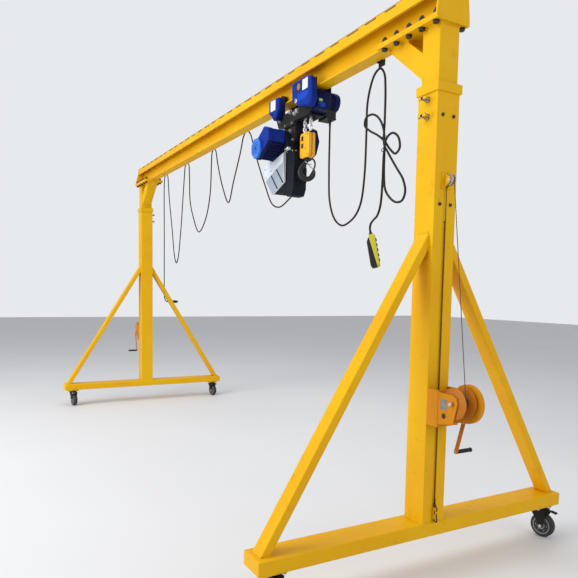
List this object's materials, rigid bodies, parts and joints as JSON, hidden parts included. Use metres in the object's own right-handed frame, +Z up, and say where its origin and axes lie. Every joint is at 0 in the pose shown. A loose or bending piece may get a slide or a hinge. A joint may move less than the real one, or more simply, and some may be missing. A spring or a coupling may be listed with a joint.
{
  "type": "gantry crane",
  "caption": "Portable gantry crane: two A-shaped legs on swivel castors, a beam raised by hand winches, and a motor trolley with an electric chain hoist.",
  "frame": {"origin": "on the floor under the middle of the crane, at the centre of its outline seen from above", "axes": "+X along the beam towards the leg nearer the hoist, +Y along the base tubes, +Z up"},
  "size_m": [6.856, 2.28, 3.381],
  "materials": {
    "black": "satin",
    "blue": "semi-gloss",
    "cable": "satin",
    "dark_blue": "semi-gloss",
    "grey": "cast, matt",
    "orange": "semi-gloss",
    "pendant": "matt",
    "slate": "satin",
    "steel": "dull",
    "tyre": "matt",
    "yellow": "semi-gloss, worn"
  },
  "bodies": {
    "leg_right": {"base_right": "yellow", "post_right": "yellow", "brace_right_front": "yellow", "brace_right_back": "yellow", "winch_right": "yellow", "rope_right": "steel", "rope_fall_right": "steel"},
    "leg_left": {"base_left": "yellow", "post_left": "yellow", "brace_left_front": "yellow", "brace_left_back": "yellow", "winch_left": "yellow", "rope_left": "steel", "rope_fall_left": "steel"},
    "upper_frame": {"mast_right": "yellow", "mast_left": "yellow", "beam": "yellow", "beam_cap": "yellow", "cable_line": "steel", "cable_hanger": "black", "pendant_cable": "cable", "pendant": "pendant", "supply_cable": "cable", "supply_plug": "black"},
    "trolley": {"trolley_frame": "black", "trolley_covers": "blue", "travel_motor": "dark_blue", "hoist_body": "slate", "hoist_motor": "blue", "gear_housing": "grey", "end_cover": "dark_blue", "chain_container": "slate", "load_chain": "steel", "hook_block": "orange"},
    "hook_body": {"hook": "black"},
    "drum_right_body": {"drum_right": "yellow"},
    "crank_right_body": {"crank_right": "yellow"},
    "sheave_right_body": {"sheave_right": "steel"},
    "castor_right_front": {"fork_right_front": "black"},
    "roller_right_front": {"wheel_right_front": "tyre"},
    "castor_right_back": {"fork_right_back": "black"},
    "roller_right_back": {"wheel_right_back": "tyre"},
    "drum_left_body": {"drum_left": "yellow"},
    "crank_left_body": {"crank_left": "yellow"},
    "sheave_left_body": {"sheave_left": "steel"},
    "castor_left_front": {"fork_left_front": "black"},
    "roller_left_front": {"wheel_left_front": "tyre"},
    "castor_left_back": {"fork_left_back": "black"},
    "roller_left_back": {"wheel_left_back": "tyre"}
  },
  "joints": [
    {"name": "lift", "type": "slide", "parent": "leg_right", "child": "upper_frame", "axis": [0, 0, 1], "range_m": [0, 1.5], "deforming": ["rope_fall_right", "rope_fall_left"]},
    {"name": "lift_left", "type": "slide", "parent": "upper_frame", "child": "leg_left", "axis": [0, 0, -1], "range_m": [0, 1.5], "deforming": ["rope_fall_left", "rope_fall_right"]},
    {"name": "trolley_travel", "type": "slide", "parent": "upper_frame", "child": "trolley", "axis": [1, 0, 0], "range_m": [-3.3, 0.45]},
    {"name": "hook_swivel", "type": "hinge", "parent": "trolley", "child": "hook_body", "pos_m": [1.58, 0, 2.64], "axis": [0, 0, 1], "continuous": true},
    {"name": "drum_right_turn", "type": "hinge", "parent": "leg_right", "child": "drum_right_body", "pos_m": [3.32, 0, 1.04], "axis": [0, 1, 0], "continuous": true},
    {"name": "crank_right_turn", "type": "hinge", "parent": "leg_right", "child": "crank_right_body", "pos_m": [3.262, 0, 0.985], "axis": [0, 1, 0], "continuous": true},
    {"name": "sheave_right_turn", "type": "hinge", "parent": "leg_right", "child": "sheave_right_body", "pos_m": [3.158, 0, 2.268], "axis": [0, 1, 0], "continuous": true},
    {"name": "swivel_right_front", "type": "hinge", "parent": "leg_right", "child": "castor_right_front", "pos_m": [3.04, -1.03, 0.2], "axis": [0, 0, 1], "continuous": true},
    {"name": "roll_right_front", "type": "hinge", "parent": "castor_right_front", "child": "roller_right_front", "pos_m": [3.08402, -1.02064, 0.08], "axis": [-0.2079, 0.9781, 0], "continuous": true},
    {"name": "swivel_right_back", "type": "hinge", "parent": "leg_right", "child": "castor_right_back", "pos_m": [3.04, 1.03, 0.2], "axis": [0, 0, 1], "continuous": true},
    {"name": "roll_right_back", "type": "hinge", "parent": "castor_right_back", "child": "roller_right_back", "pos_m": [3.08402, 1.03936, 0.08], "axis": [-0.2079, 0.9781, 0], "continuous": true},
    {"name": "drum_left_turn", "type": "hinge", "parent": "leg_left", "child": "drum_left_body", "pos_m": [-3.32, 0, 1.04], "axis": [0, -1, 0], "continuous": true},
    {"name": "crank_left_turn", "type": "hinge", "parent": "leg_left", "child": "crank_left_body", "pos_m": [-3.262, 0, 0.985], "axis": [0, -1, 0], "continuous": true},
    {"name": "sheave_left_turn", "type": "hinge", "parent": "leg_left", "child": "sheave_left_body", "pos_m": [-3.158, 0, 2.268], "axis": [0, -1, 0], "continuous": true},
    {"name": "swivel_left_front", "type": "hinge", "parent": "leg_left", "child": "castor_left_front", "pos_m": [-3.04, -1.03, 0.2], "axis": [0, 0, 1], "continuous": true},
    {"name": "roll_left_front", "type": "hinge", "parent": "castor_left_front", "child": "roller_left_front", "pos_m": [-2.99598, -1.02064, 0.08], "axis": [-0.2079, 0.9781, 0], "continuous": true},
    {"name": "swivel_left_back", "type": "hinge", "parent": "leg_left", "child": "castor_left_back", "pos_m": [-3.04, 1.03, 0.2], "axis": [0, 0, 1], "continuous": true},
    {"name": "roll_left_back", "type": "hinge", "parent": "castor_left_back", "child": "roller_left_back", "pos_m": [-2.99598, 1.03936, 0.08], "axis": [-0.2079, 0.9781, 0], "continuous": true}
  ],
  "couplings": [
    {"joint": "lift_left", "follows": "lift", "ratio": 1},
    {"joint": "drum_right_turn", "follows": "lift", "rad_per_m": 29.412},
    {"joint": "crank_right_turn", "follows": "lift", "rad_per_m": -152.94},
    {"joint": "sheave_right_turn", "follows": "lift", "rad_per_m": 35.714},
    {"joint": "drum_left_turn", "follows": "lift", "rad_per_m": 29.412},
    {"joint": "crank_left_turn", "follows": "lift", "rad_per_m": -152.94},
    {"joint": "sheave_left_turn", "follows": "lift", "rad_per_m": 35.714}
  ]
}
